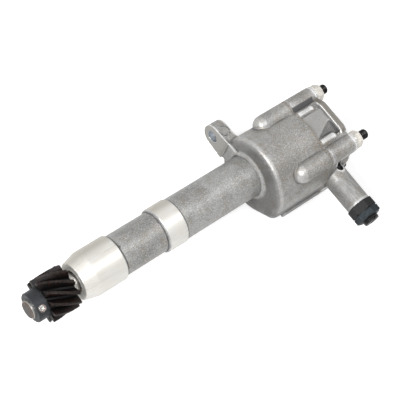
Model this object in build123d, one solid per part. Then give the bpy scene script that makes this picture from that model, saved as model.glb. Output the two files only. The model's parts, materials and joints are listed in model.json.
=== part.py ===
from build123d import *
import math
import os

# Engine oil pump: a long-necked rotor pump driven by a helical gear.
# Millimetres. +X runs along the drive shaft from the gear to the cover, +Z is up,
# and -Y is the side of the relief-valve tube. The origin is on the shaft axis, at
# the middle of the rear pilot band, which locates the pump in the engine block.

# Lengths along the shaft
hub_length = 8.1
gear_length = 20.4
gear_to_nose = 4.6
nose_cone_length = 9.8
front_pilot_length = 21.2
front_neck_length = 35.6
rear_pilot_length = 14.3
rear_neck_length = 66.0
body_length = 43.5
gasket_thickness = 0.4
cover_thickness = 24.4

# Shaft and its bushes
shaft_radius = 6.5
shaft_chamfer = 1.0
shaft_stand_out = 2.5
shaft_tail_length = 11.0
tail_gap = 2.5
running_gap = 0.03
shaft_clearance = 0.5
nose_bush_wall = 1.5
nose_bush_length = 20.0
nose_bush_recess = 3.0
inner_bush_wall = 2.0
body_bush_length = 15.0
cover_bush_length = 11.0
bush_edge = 0.4

# Neck
pilot_radius = 16.0
nose_face_radius = 13.25
front_neck_radius = 14.5
rear_neck_radius = 15.25
neck_root_fillet = 0.6
collar_radius = 17.8
collar_edge = 1.9
nose_bore_edge = 0.6

# Rotor set: the outer rotor's axis is set off towards the relief valve
outer_lobes = 5
inner_lobes = outer_lobes - 1
eccentricity = 2.8
lobe_circle_radius = 22.4
lobe_radius = 10.0
lobe_gap = 0.08
outer_rotor_wall = 3.9
rotor_length = 28.3
rotor_side_gap = 0.05
pocket_gap = 0.06
points_per_lobe = 24
key_width = 4.0
key_height = 4.0
key_length = 16.0
key_sink = 2.4
keyway_gap = 0.1

# Studs, nuts and ring dowels
stud_radius = 3.5
stud_hole_gap = 0.25
stud_depth = 18.0
stud_edge = 0.8
stud_end_round = 1.4
stud_stand_outs = (6.0, 6.0, 7.7, 6.0)
washer_thickness = 1.5
washer_inset = 0.2
nut_across_flats = 11.0
nut_height = 5.6
nut_bevel = 0.6
nut_first_turn = 45.0
nut_turn_step = 30.0
dowel_wall = 1.25
dowel_length = 9.0
boss_wall = 2.0
boss_outset = 1.6
boss_angle = 43.5
boss_end_length = 22.0

# Rotor housing and bolt lug
body_wall = 5.94
body_centre_y = -2.5
body_rise = 2.5
body_drop = 2.3
shoulder_fillet = 4.0
side_wall_thickness = 3.1
side_wall_top_z = 9.0
side_wall_foot_z = -14.0
side_wall_top_round = 26.0
side_wall_foot_round = 8.0
strip_step = 1.3
strip_top_z = -9.5
strip_width = 7.0
strip_setback = 9.5
lug_seat_height = 2.5
lug_pad_height = 1.1
lug_reach = 10.9
lug_hole_radius = 4.3
lug_tip_radius = 8.6
lug_half_width = 9.8
lug_pad_length = 12.9
lug_thickness = 8.3
lug_edge_fillet = 0.8
ejector_mark_radius = 3.7
ejector_mark_depth = 0.35
ejector_mark_offset = 3.3

# Cover
flange_thickness = 4.7
flange_flat_drop = 2.0
cover_flat_drop = 4.3
rib_radius = 3.1
rib_offset = 12.3
rib_sink = 1.6
rib_stop_short = 3.5
scoop_depth = 2.8
scoop_front_y = -11.5
scoop_back_y = -3.5

# Relief valve, in a tube across the cover
tube_setback = 10.4
tube_reach = 26.2
tube_root_radius = 9.25
tube_end_radius = 9.0
gusset_height = 9.0
valve_seat_depth = 7.6
valve_inlet_length = 14.0
valve_bore_radius = 5.0
valve_seat_step = 1.0
valve_edge = 0.4
thread_depth = 1.0
thread_length = 12.8
plunger_length = 14.0
plunger_wall = 1.0
plunger_crown = 3.5
spill_hole_radius = 2.75
spill_hole_offset = 2.3
spill_hole_depth = 5.8
spring_wire_radius = 0.6
spring_gap = 0.37
spring_turns = 6.5
spring_length = 20.0
seat_thickness = 1.5
seat_gap = 0.25
screw_stand_out = 3.0
screw_edge = 0.8
screw_slot_width = 1.8
screw_slot_depth = 1.6
adjuster_flats = 17.0
adjuster_turn = 35.0
lock_nut_height = 7.0
lock_nut_bevel = 0.7
jam_nut_height = 5.0
jam_nut_bevel = 1.1

# Ports
kidney_root_gap = 0.6
kidney_width = 5.5
kidney_depth = 5.5
kidney_half_angle = 66.0
inlet_radius = 4.8
inlet_socket_radius = 5.5
inlet_socket_length = 14.9
inlet_lift = 0.9
outlet_radius = 4.5
outlet_wall = 5.0
outlet_setback = 4.8
outlet_boss_height = 1.2
relief_feed_radius = 3.5

# Helical gear and its cross pin
gear_teeth = 11
gear_lead = 155.0
tooth_depth = 4.65
addendum = 2.1
gear_phase = 16.0
gear_end_chamfer = 1.4
hub_wall = 3.75
hub_edge = 0.6
gear_root_step = 0.1
pin_radius = 2.0
pin_sink = 1.0
pin_round = 0.5
pin_from_face = 3.7
pin_tilt = 36.9

# Stations along the shaft
pilot_start_x = -rear_pilot_length / 2
pilot_end_x = rear_pilot_length / 2
front_pilot_end_x = pilot_start_x - front_neck_length
front_pilot_start_x = front_pilot_end_x - front_pilot_length
nose_face_x = front_pilot_start_x - nose_cone_length
gear_back_x = nose_face_x - gear_to_nose
gear_front_x = gear_back_x - gear_length
hub_face_x = gear_front_x - hub_length
wall_x = pilot_end_x + rear_neck_length
seat_x = wall_x - lug_seat_height
lug_web_x = seat_x + lug_pad_height
joint_x = wall_x + body_length
cover_front_x = joint_x + gasket_thickness
cover_back_x = cover_front_x + cover_thickness
flange_x = cover_back_x - flange_thickness
rotor_end_x = cover_front_x - rotor_side_gap
rotor_start_x = rotor_end_x - rotor_length
pocket_x = rotor_start_x - rotor_side_gap
rotor_middle_x = (rotor_start_x + rotor_end_x) / 2
shaft_tail_x = cover_front_x + shaft_tail_length
tube_x = cover_front_x + tube_setback

# Radii and places that follow from the sizes above
shaft_bore_radius = shaft_radius + running_gap
nose_bush_radius = shaft_radius + nose_bush_wall
inner_bush_radius = shaft_radius + inner_bush_wall
rotor_axis_y = -eccentricity
rotor_root_radius = lobe_circle_radius - lobe_radius + 2 * eccentricity + lobe_gap
outer_rotor_radius = rotor_root_radius + outer_rotor_wall
pocket_radius = outer_rotor_radius + pocket_gap
body_radius = pocket_radius + body_wall
stud_hole_radius = stud_radius + stud_hole_gap
dowel_radius = stud_hole_radius + dowel_wall
boss_radius = dowel_radius + boss_wall
lug_hole_y = body_centre_y + body_radius + lug_reach
side_wall_y = body_centre_y - body_radius - side_wall_thickness
tube_end_y = side_wall_y - tube_reach
thread_start_y = tube_end_y + thread_length
valve_seat_y = side_wall_y + valve_seat_depth
valve_inlet_y = valve_seat_y + valve_inlet_length
valve_inlet_radius = valve_bore_radius - valve_seat_step
thread_radius = valve_bore_radius + thread_depth
plunger_radius = valve_bore_radius - running_gap
spring_coil_radius = plunger_radius - plunger_wall - spring_gap - spring_wire_radius
spring_seat_y = valve_seat_y - plunger_crown - spring_length
screw_start_y = spring_seat_y - seat_thickness
jam_nut_y = tube_end_y - lock_nut_height
screw_end_y = jam_nut_y - jam_nut_height - screw_stand_out
kidney_outer_radius = rotor_root_radius - kidney_root_gap
kidney_inner_radius = kidney_outer_radius - kidney_width
kidney_middle_radius = (kidney_outer_radius + kidney_inner_radius) / 2
inlet_z = kidney_middle_radius + inlet_lift
outlet_x = pocket_x - outlet_setback
outlet_face_z = -body_drop - body_radius - outlet_boss_height
hub_radius = shaft_radius + hub_wall
gear_root_radius = hub_radius + gear_root_step
gear_tip_radius = gear_root_radius + tooth_depth

up_from_base = (Align.CENTER, Align.CENTER, Align.MIN)
down_from_top = (Align.CENTER, Align.CENTER, Align.MAX)
overrun = 1.0
boss_places = [
    (
        body_centre_y + side * (body_radius + boss_outset) * math.cos(math.radians(boss_angle)),
        level * (body_radius + boss_outset) * math.sin(math.radians(boss_angle)),
    )
    for side in (1, -1)
    for level in (1, -1)
]
dowel_places = (boss_places[0], boss_places[3])


def rod(start_x, end_x, radius, y=0.0, z=0.0):
    turned = Rot(0, 90, 0) * Cylinder(radius, end_x - start_x, align=up_from_base)
    return Pos(start_x, y, z) * turned


def side_rod(start_y, end_y, radius):
    """Cylinder on the relief valve's axis, from start_y outwards to end_y."""
    turned = Rot(90, 0, 0) * Cylinder(radius, start_y - end_y, align=up_from_base)
    return Pos(tube_x, start_y, 0) * turned


def revolved(points):
    """Solid of revolution about the shaft axis from (x, radius) points."""
    return revolve(make_face(Polyline(*points, close=True)), axis=Axis.X)


def slab(start_x, end_x, outline):
    """Prism along X from (y, z) points."""
    face = Plane.YZ * make_face(Polyline(*outline, close=True))
    return Pos(start_x, 0, 0) * extrude(face, end_x - start_x, dir=(1, 0, 0))


def box_between(low, high):
    size = [b - a for a, b in zip(low, high)]
    middle = [(a + b) / 2 for a, b in zip(low, high)]
    return Pos(*middle) * Box(*size)


def housing_section(start_x, end_x):
    """The castings' section, a circle drawn out upwards and downwards."""
    upper = rod(start_x, end_x, body_radius, body_centre_y, body_rise)
    lower = rod(start_x, end_x, body_radius, body_centre_y, -body_drop)
    middle = box_between(
        (start_x, body_centre_y - body_radius, -body_drop),
        (end_x, body_centre_y + body_radius, body_rise),
    )
    return lower + upper + middle


def flattened_section(start_x, end_x, drop):
    """The castings' section cut flat above and below, drop inside its crown."""
    reach = 2 * body_radius
    low = (start_x, -reach, drop - body_drop - body_radius)
    high = (end_x, reach, body_rise + body_radius - drop)
    return housing_section(start_x, end_x) & box_between(low, high)


def side_tangent(centre_z, corner_z, level):
    """Where the line from a corner of the flat side wall touches the round section."""
    run_y = side_wall_y - body_centre_y
    run_z = corner_z - centre_z
    spread = math.acos(body_radius / math.hypot(run_y, run_z))
    angle = math.atan2(run_z, run_y) - level * spread
    y = body_centre_y + body_radius * math.cos(angle)
    return (y, centre_z + body_radius * math.sin(angle))


def side_wall(start_x, end_x):
    """Flat-sided filling of the castings next to the relief valve."""
    outline = FilletPolyline(
        side_tangent(body_rise, side_wall_top_z, 1),
        (side_wall_y, side_wall_top_z),
        (side_wall_y, side_wall_foot_z),
        side_tangent(-body_drop, side_wall_foot_z, -1),
        radius=[side_wall_top_round, side_wall_foot_round],
    )
    closing = Polyline(outline @ 1, (body_centre_y, 0), outline @ 0)
    face = Plane.YZ * make_face([*outline.edges(), *closing.edges()])
    return Pos(start_x, 0, 0) * extrude(face, end_x - start_x, dir=(1, 0, 0))


def side_strip(start_x, end_x):
    """Raised strip along the foot of the side wall, its top edge sloped."""
    outer_y = side_wall_y - strip_step
    foot_z = strip_top_z - strip_width
    outline = [
        (body_centre_y, strip_top_z),
        (side_wall_y, strip_top_z),
        (outer_y, strip_top_z - strip_step),
        (outer_y, foot_z),
        (body_centre_y, foot_z),
    ]
    return slab(start_x, end_x, outline)


def joint_section(start_x, end_x):
    shape = housing_section(start_x, end_x)
    for y, z in boss_places:
        shape += rod(start_x, end_x, boss_radius, y, z)
    return shape


def kidney(start_x, end_x, level):
    """Port beside the rotors; level is 1 above the shaft and -1 below it."""
    ring = rod(start_x, end_x, kidney_outer_radius, rotor_axis_y)
    ring -= rod(start_x, end_x, kidney_inner_radius, rotor_axis_y)
    half = math.radians(kidney_half_angle)
    reach_y = 2 * kidney_outer_radius * math.tan(half)
    reach_z = level * 2 * kidney_outer_radius
    corners = [
        (rotor_axis_y, 0),
        (rotor_axis_y + reach_y, reach_z),
        (rotor_axis_y - reach_y, reach_z),
    ]
    return ring & slab(start_x, end_x, corners)


def stud_holes(start_x, end_x, radius):
    return [rod(start_x, end_x, radius, y, z) for y, z in boss_places]


def dowel_seats(start_x, end_x):
    return [rod(start_x, end_x, dowel_radius, y, z) for y, z in dowel_places]


def neck():
    nose_edge_step = pilot_radius - front_neck_radius
    root_x = lug_web_x - neck_root_fillet
    root_radius = rear_neck_radius + neck_root_fillet
    root_bend = neck_root_fillet * math.sin(math.radians(45))
    rim_radius = collar_radius - collar_edge
    rim_bend = collar_edge * math.sin(math.radians(45))
    outside = Polyline(
        (nose_face_x, 0),
        (nose_face_x, nose_face_radius),
        (front_pilot_start_x, pilot_radius),
        (front_pilot_end_x, pilot_radius),
        (front_pilot_end_x + nose_edge_step, front_neck_radius),
        (pilot_start_x - nose_edge_step, front_neck_radius),
        (pilot_start_x, pilot_radius),
        (pilot_end_x, pilot_radius),
        (pilot_end_x + pilot_radius - rear_neck_radius, rear_neck_radius),
        (root_x, rear_neck_radius),
    )
    root = ThreePointArc(
        (root_x, rear_neck_radius),
        (root_x + root_bend, root_radius - root_bend),
        (lug_web_x, root_radius),
    )
    rim = ThreePointArc(
        (lug_web_x, rim_radius),
        (lug_web_x + collar_edge - rim_bend, rim_radius + rim_bend),
        (lug_web_x + collar_edge, collar_radius),
    )
    plate = Line((lug_web_x, root_radius), (lug_web_x, rim_radius))
    inside = Polyline(
        (lug_web_x + collar_edge, collar_radius),
        (wall_x + overrun, collar_radius),
        (wall_x + overrun, 0),
        (nose_face_x, 0),
    )
    edges = [*outside.edges(), root, plate, rim, *inside.edges()]
    return revolve(make_face(edges), axis=Axis.X)


def lug_outline(half_width, foot_y):
    return [
        (foot_y, -half_width),
        (lug_hole_y, -lug_tip_radius),
        (lug_hole_y, lug_tip_radius),
        (foot_y, half_width),
    ]


def lug():
    """Bolt lug: a raised, machined seat in front of a web that runs into the body."""
    back_x = wall_x + lug_thickness
    pad_foot_y = lug_hole_y - lug_pad_length
    web = slab(lug_web_x, back_x, lug_outline(lug_half_width, 0))
    web += rod(lug_web_x, back_x, lug_tip_radius, lug_hole_y)
    back = web.faces().sort_by(Axis.X)[-1]
    web = fillet(back.edges().filter_by_position(Axis.Y, overrun, 3 * lug_hole_y), lug_edge_fillet)
    pad = slab(seat_x, lug_web_x, lug_outline(lug_half_width, pad_foot_y))
    pad += rod(seat_x, lug_web_x, lug_tip_radius, lug_hole_y)
    mark_x = (seat_x + back_x) / 2
    mark = Pos(mark_x, lug_hole_y - ejector_mark_offset, lug_tip_radius) * Cylinder(
        ejector_mark_radius, 2 * ejector_mark_depth
    )
    return web + pad - mark


def rotor_housing():
    shape = housing_section(wall_x, joint_x) + side_wall(wall_x, joint_x)
    front = shape.faces().sort_by(Axis.X)[0]
    shape = fillet(front.outer_wire().edges(), shoulder_fillet)
    shape += side_strip(wall_x + strip_setback, joint_x)
    for y, z in boss_places:
        shape += rod(wall_x + boss_end_length, joint_x, boss_radius, y, z)
        shape += Pos(wall_x + boss_end_length, y, z) * Sphere(boss_radius)
    boss = Cylinder(outlet_radius + outlet_wall, -outlet_face_z, align=down_from_top)
    return shape + Pos(outlet_x, rotor_axis_y, 0) * boss


def pump_body():
    shape = rotor_housing() + neck() + lug()
    shape -= rod(seat_x - overrun, wall_x + 2 * lug_thickness, lug_hole_radius, lug_hole_y)
    bush_end_x = nose_face_x + nose_bush_recess + nose_bush_length
    shape -= rod(nose_face_x - overrun, bush_end_x, nose_bush_radius)
    mouth = nose_bush_radius + nose_bore_edge + overrun
    mouth_cone = Cone(mouth, nose_bush_radius, nose_bore_edge + overrun, align=up_from_base)
    shape -= Pos(nose_face_x - overrun, 0, 0) * Rot(0, 90, 0) * mouth_cone
    shape -= rod(nose_face_x, pocket_x + overrun, shaft_radius + shaft_clearance)
    shape -= rod(pocket_x - body_bush_length, pocket_x + overrun, inner_bush_radius)
    shape -= rod(pocket_x, joint_x + overrun, pocket_radius, rotor_axis_y)
    shape -= kidney(pocket_x - kidney_depth, pocket_x + overrun, -1)
    drill_top_z = -kidney_inner_radius - overrun
    drill = Cylinder(outlet_radius, drill_top_z - outlet_face_z + overrun, align=down_from_top)
    shape -= Pos(outlet_x, rotor_axis_y, drill_top_z) * drill
    shape -= stud_holes(joint_x - stud_depth, joint_x + overrun, stud_radius)
    shape -= dowel_seats(joint_x - dowel_length / 2, joint_x + overrun)
    return shape


def cover_gasket():
    shape = joint_section(joint_x, cover_front_x) + side_wall(joint_x, cover_front_x)
    shape += side_strip(joint_x, cover_front_x)
    shape -= rod(joint_x, cover_front_x, pocket_radius + pocket_gap, rotor_axis_y)
    shape -= stud_holes(joint_x, cover_front_x, stud_hole_radius)
    shape -= dowel_seats(joint_x, cover_front_x)
    return shape


def cover_scoop():
    """Corner of the cover's upper flat that falls away towards the flange."""
    flat_z = body_radius + body_rise - cover_flat_drop
    rib_y = body_centre_y - rib_offset
    front = Vector(cover_front_x, scoop_front_y, flat_z)
    back = Vector(flange_x - rib_stop_short, scoop_back_y, flat_z)
    deepest = Vector(flange_x, rib_y, flat_z - scoop_depth)
    across = (back - front).normalized()
    upwards = (back - front).cross(deepest - front).normalized()
    if upwards.Z < 0:
        upwards = -upwards
    reach = 2 * body_radius
    floor = Plane(origin=front, x_dir=across, z_dir=upwards)
    above = floor * Box(2 * reach, 2 * reach, reach, align=up_from_base)
    outline = Polyline(
        (front.X, front.Y),
        (back.X, back.Y),
        (flange_x, back.Y),
        (flange_x, rib_y),
        (front.X, rib_y),
        close=True,
    )
    column = Pos(0, 0, flat_z - reach / 2) * extrude(make_face(outline), reach)
    return above & column


def cover_core():
    """Middle of the cover: flat above and below, with half-round ribs beside each flat."""
    shape = flattened_section(cover_front_x, flange_x, cover_flat_drop) - cover_scoop()
    top_z = body_radius + body_rise - cover_flat_drop - rib_sink
    foot_z = body_radius + body_drop - cover_flat_drop - rib_sink
    rib_end_x = flange_x - rib_stop_short - rib_radius
    for rib_z in (top_z, -foot_z):
        for side in (1, -1):
            rib_y = body_centre_y + side * rib_offset
            shape += rod(cover_front_x, rib_end_x, rib_radius, rib_y, rib_z)
            shape += Pos(rib_end_x, rib_y, rib_z) * Sphere(rib_radius)
    for y, z in boss_places:
        shape += rod(cover_front_x, flange_x, boss_radius, y, z)
    return shape


def cover_flange():
    shape = flattened_section(flange_x, cover_back_x, flange_flat_drop)
    for y, z in boss_places:
        shape += rod(flange_x, cover_back_x, boss_radius, y, z)
    return shape


def relief_tube():
    length = valve_inlet_y - tube_end_y
    tube = Rot(90, 0, 0) * Cone(tube_root_radius, tube_end_radius, length, align=up_from_base)
    corner_x = tube_x + tube_root_radius - overrun
    web = Polyline(
        (tube_x, side_wall_y),
        (corner_x, side_wall_y + overrun),
        (flange_x + overrun, side_wall_y + 2 * side_wall_thickness),
        (flange_x + overrun, body_centre_y),
        (tube_x, body_centre_y),
        close=True,
    )
    gusset = extrude(make_face(web), gusset_height / 2, both=True)
    return Pos(tube_x, valve_inlet_y, 0) * tube + gusset


def rear_cover():
    shape = cover_core() + cover_flange()
    shape += side_wall(cover_front_x, tube_x + tube_root_radius / 2)
    shape += side_strip(cover_front_x, tube_x)
    shape += relief_tube()
    start_x = cover_front_x - overrun
    shape -= rod(start_x, shaft_tail_x + tail_gap, inner_bush_radius)
    shape -= kidney(start_x, cover_front_x + kidney_depth, 1)
    shape -= kidney(start_x, cover_front_x + kidney_depth, -1)
    socket_x = cover_back_x - inlet_socket_length
    shape -= rod(start_x, socket_x, inlet_radius, rotor_axis_y, inlet_z)
    shape -= rod(socket_x, cover_back_x + overrun, inlet_socket_radius, rotor_axis_y, inlet_z)
    feed_y = valve_inlet_y - relief_feed_radius - overrun
    feed_z = -relief_feed_radius - overrun
    shape -= rod(start_x, tube_x, relief_feed_radius, feed_y, feed_z)
    shape -= side_rod(valve_inlet_y, valve_seat_y, valve_inlet_radius)
    shape -= side_rod(valve_seat_y, tube_end_y - overrun, valve_bore_radius)
    shape -= side_rod(thread_start_y, tube_end_y - overrun, thread_radius)
    spill = Cylinder(spill_hole_radius, 2 * tube_root_radius, align=up_from_base)
    shape -= Pos(tube_x + spill_hole_offset, valve_seat_y - spill_hole_depth, 0) * spill
    shape -= stud_holes(start_x, cover_back_x + overrun, stud_hole_radius)
    shape -= dowel_seats(start_x, joint_x + dowel_length / 2)
    return shape


def bush(start_x, length, radius):
    shape = rod(start_x, start_x + length, radius)
    shape -= rod(start_x - overrun, start_x + length + overrun, shaft_bore_radius)
    inner_edges = shape.faces().filter_by(GeomType.CYLINDER).sort_by(SortBy.AREA)[0].edges()
    return chamfer(inner_edges.filter_by(GeomType.CIRCLE), bush_edge)


def nose_bush():
    return bush(nose_face_x + nose_bush_recess, nose_bush_length, nose_bush_radius)


def body_bush():
    return bush(pocket_x - body_bush_length, body_bush_length, inner_bush_radius)


def cover_bush():
    return bush(cover_front_x, cover_bush_length, inner_bush_radius)


def key_block(top_z):
    start_x = rotor_middle_x - key_length / 2
    low = (start_x, -key_width / 2, shaft_radius - key_sink)
    high = (start_x + key_length, key_width / 2, top_z)
    return box_between(low, high)


def rotor_key():
    return key_block(shaft_radius - key_sink + key_height)


def drive_shaft():
    shape = rod(hub_face_x - shaft_stand_out, shaft_tail_x, shaft_radius)
    shape = chamfer(shape.edges().filter_by(GeomType.CIRCLE), shaft_chamfer)
    return shape - key_block(shaft_radius + overrun) - cross_pin_hole()


def pin_frame():
    return Pos(hub_face_x + pin_from_face, 0, 0) * Rot(pin_tilt, 0, 0)


def cross_pin_hole():
    return pin_frame() * Cylinder(pin_radius, 4 * hub_radius)


def gear_pin():
    shape = Cylinder(pin_radius, 2 * (hub_radius - pin_sink))
    return pin_frame() * fillet(shape.edges().filter_by(GeomType.CIRCLE), pin_round)


def gear_face():
    """Transverse section of the toothed part: flanks, tip lands and root lands as arcs."""
    pitch_angle = 2 * math.pi / gear_teeth
    pitch_radius = gear_tip_radius - addendum
    tip_half = 0.115 * pitch_angle
    pitch_half = 0.25 * pitch_angle
    root_half = 0.385 * pitch_angle

    def at(radius, angle):
        return (radius * math.cos(angle), radius * math.sin(angle))

    edges = []
    for tooth in range(gear_teeth):
        middle = tooth * pitch_angle + math.radians(gear_phase)
        left_root = at(gear_root_radius, middle - root_half)
        left_tip = at(gear_tip_radius, middle - tip_half)
        right_tip = at(gear_tip_radius, middle + tip_half)
        right_root = at(gear_root_radius, middle + root_half)
        next_root = at(gear_root_radius, middle + pitch_angle - root_half)
        edges.append(ThreePointArc(left_root, at(pitch_radius, middle - pitch_half), left_tip))
        edges.append(ThreePointArc(left_tip, at(gear_tip_radius, middle), right_tip))
        edges.append(ThreePointArc(right_tip, at(pitch_radius, middle + pitch_half), right_root))
        root_floor = at(gear_root_radius, middle + pitch_angle / 2)
        edges.append(ThreePointArc(right_root, root_floor, next_root))
    return make_face(edges)


def toothed_part():
    twist = 360 * gear_length / gear_lead
    face = gear_face().faces()[0]
    shape = Solid.extrude_linear_with_rotation(face, (0, 0, 0), (0, 0, gear_length), twist)
    end_radius = gear_tip_radius - gear_end_chamfer
    envelope = revolved(
        [
            (gear_front_x, 0),
            (gear_front_x, end_radius),
            (gear_front_x + gear_end_chamfer, gear_tip_radius),
            (gear_back_x - gear_end_chamfer, gear_tip_radius),
            (gear_back_x, end_radius),
            (gear_back_x, 0),
        ]
    )
    return Pos(gear_front_x, 0, 0) * Rot(0, 90, 0) * shape & envelope


def helical_gear():
    hub = revolved(
        [
            (hub_face_x, 0),
            (hub_face_x, hub_radius - hub_edge),
            (hub_face_x + hub_edge, hub_radius),
            (gear_front_x + overrun, hub_radius),
            (gear_front_x + overrun, 0),
        ]
    )
    shape = toothed_part() + hub
    shape -= rod(hub_face_x - overrun, gear_back_x + overrun, shaft_radius)
    shape -= cross_pin_hole()
    sink = Cone(pin_radius, pin_radius + 2 * pin_sink, 2 * pin_sink, align=up_from_base)
    for turn in (0, 180):
        shape -= pin_frame() * Rot(turn, 0, 0) * Pos(0, 0, hub_radius - pin_sink) * sink
    return shape


def inner_rotor_points():
    """The outer lobes' path about the shaft, moved inwards by the lobe radius."""
    reach = lobe_radius + lobe_gap
    count = inner_lobes * points_per_lobe
    points = []
    for step in range(count):
        turn = 2 * math.pi * step / count
        fast = outer_lobes * turn
        path_y = lobe_circle_radius * math.cos(turn) + eccentricity * math.cos(fast)
        path_z = lobe_circle_radius * math.sin(turn) + eccentricity * math.sin(fast)
        slope_y = lobe_circle_radius * math.sin(turn) + outer_lobes * eccentricity * math.sin(fast)
        slope_z = lobe_circle_radius * math.cos(turn) + outer_lobes * eccentricity * math.cos(fast)
        speed = math.hypot(slope_y, slope_z)
        y = path_y - reach * slope_z / speed
        z = path_z - reach * slope_y / speed
        points.append((-y, z))
    return points


def inner_rotor():
    face = Plane.YZ * make_face(Spline(*inner_rotor_points(), periodic=True))
    shape = Pos(rotor_start_x, 0, 0) * extrude(face, rotor_length, dir=(1, 0, 0))
    start_x = rotor_start_x - overrun
    end_x = rotor_end_x + overrun
    shape -= rod(start_x, end_x, shaft_radius)
    half_width = key_width / 2
    slot_top_z = shaft_radius - key_sink + key_height + keyway_gap
    shape -= box_between((start_x, -half_width, 0), (end_x, half_width, slot_top_z))
    return shape


def outer_rotor():
    start_x = rotor_start_x - overrun
    end_x = rotor_end_x + overrun
    hollow = rod(start_x, end_x, rotor_root_radius, rotor_axis_y)
    for lobe in range(outer_lobes):
        angle = 2 * math.pi * lobe / outer_lobes
        lobe_y = rotor_axis_y - lobe_circle_radius * math.cos(angle)
        lobe_z = lobe_circle_radius * math.sin(angle)
        hollow -= rod(start_x - overrun, end_x + overrun, lobe_radius, lobe_y, lobe_z)
    return rod(rotor_start_x, rotor_end_x, outer_rotor_radius, rotor_axis_y) - hollow


def hexagon(flats, height, bevel):
    """Hexagonal blank along +Z, its corners bevelled at the far end."""
    corner_radius = flats / math.sqrt(3)
    chamfered = Cylinder(corner_radius, height, align=up_from_base)
    top_edge = chamfered.edges().filter_by(GeomType.CIRCLE).sort_by(Axis.Z)[-1]
    chamfered = chamfer(top_edge, bevel, 2 * bevel)
    return extrude(RegularPolygon(corner_radius, 6), height) & chamfered


def body_studs():
    start_x = joint_x - stud_depth
    nut_top_x = cover_back_x + washer_thickness + nut_height
    studs = []
    for (y, z), stand_out in zip(boss_places, stud_stand_outs):
        stud = rod(start_x, nut_top_x + stand_out, stud_radius)
        rims = stud.edges().filter_by(GeomType.CIRCLE).sort_by(Axis.X)
        stud = chamfer(rims[0], stud_edge)
        outer_rim = stud.edges().filter_by(GeomType.CIRCLE).sort_by(Axis.X)[-1]
        studs.append(Pos(0, y, z) * fillet(outer_rim, stud_end_round))
    return Compound(studs)


def stud_washers():
    end_x = cover_back_x + washer_thickness
    ring = rod(cover_back_x, end_x, boss_radius - washer_inset)
    ring -= rod(cover_back_x - overrun, end_x + overrun, stud_hole_radius)
    return Compound([Pos(0, y, z) * ring for y, z in boss_places])


def stud_nuts():
    nut = hexagon(nut_across_flats, nut_height, nut_bevel)
    nut -= Cylinder(stud_radius, 3 * nut_height)
    start_x = cover_back_x + washer_thickness
    nuts = []
    for index, (y, z) in enumerate(boss_places):
        turn = nut_first_turn + nut_turn_step * index
        nuts.append(Pos(start_x, y, z) * Rot(0, 90, 0) * Rot(0, 0, turn) * nut)
    return Compound(nuts)


def ring_dowels():
    start_x = joint_x - dowel_length / 2
    end_x = joint_x + dowel_length / 2
    ring = rod(start_x, end_x, dowel_radius)
    ring -= rod(start_x - overrun, end_x + overrun, stud_hole_radius)
    return Compound([Pos(0, y, z) * ring for y, z in dowel_places])


def relief_plunger():
    back_y = valve_seat_y - plunger_length
    shape = side_rod(valve_seat_y, back_y, plunger_radius)
    shape = chamfer(shape.faces().sort_by(Axis.Y)[-1].edges(), valve_edge)
    inner_radius = plunger_radius - plunger_wall
    return shape - side_rod(valve_seat_y - plunger_crown, back_y - overrun, inner_radius)


def relief_spring():
    height = spring_length - 2 * spring_wire_radius
    path = Helix(height / spring_turns, height, spring_coil_radius)
    section = Plane(origin=path @ 0, z_dir=path % 0) * Circle(spring_wire_radius)
    coil = sweep(section, path, is_frenet=True)
    start_y = valve_seat_y - plunger_crown - spring_wire_radius
    return Pos(tube_x, start_y, 0) * Rot(90, 0, 0) * coil


def spring_seat():
    return side_rod(spring_seat_y, screw_start_y, valve_bore_radius - seat_gap)


def adjusting_screw():
    shape = side_rod(screw_start_y, screw_end_y, thread_radius)
    shape = fillet(shape.edges().filter_by(GeomType.CIRCLE), screw_edge)
    half_width = screw_slot_width / 2
    slot = box_between(
        (tube_x - half_width, screw_end_y - overrun, -thread_radius - overrun),
        (tube_x + half_width, screw_end_y + screw_slot_depth, thread_radius + overrun),
    )
    return shape - slot


def adjuster_nut(start_y, height, bevel):
    nut = hexagon(adjuster_flats, height, bevel)
    nut -= Cylinder(thread_radius, 3 * height)
    return Pos(tube_x, start_y, 0) * Rot(90, 0, 0) * Rot(0, 0, adjuster_turn) * nut


def adjuster_lock_nut():
    return adjuster_nut(tube_end_y, lock_nut_height, lock_nut_bevel)


def adjuster_jam_nut():
    return adjuster_nut(jam_nut_y, jam_nut_height, jam_nut_bevel)


pieces = [
    pump_body,
    rear_cover,
    cover_gasket,
    nose_bush,
    body_bush,
    cover_bush,
    drive_shaft,
    helical_gear,
    gear_pin,
    inner_rotor,
    rotor_key,
    outer_rotor,
    ring_dowels,
    body_studs,
    stud_washers,
    stud_nuts,
    relief_plunger,
    relief_spring,
    spring_seat,
    adjusting_screw,
    adjuster_lock_nut,
    adjuster_jam_nut,
]

os.makedirs("parts", exist_ok=True)
for piece in pieces:
    export_step(piece(), f"parts/{piece.__name__}.step")
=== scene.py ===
import json
import math
import bpy
import numpy as np
from mathutils import Matrix, Vector
from mathutils.bvhtree import BVHTree


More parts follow.
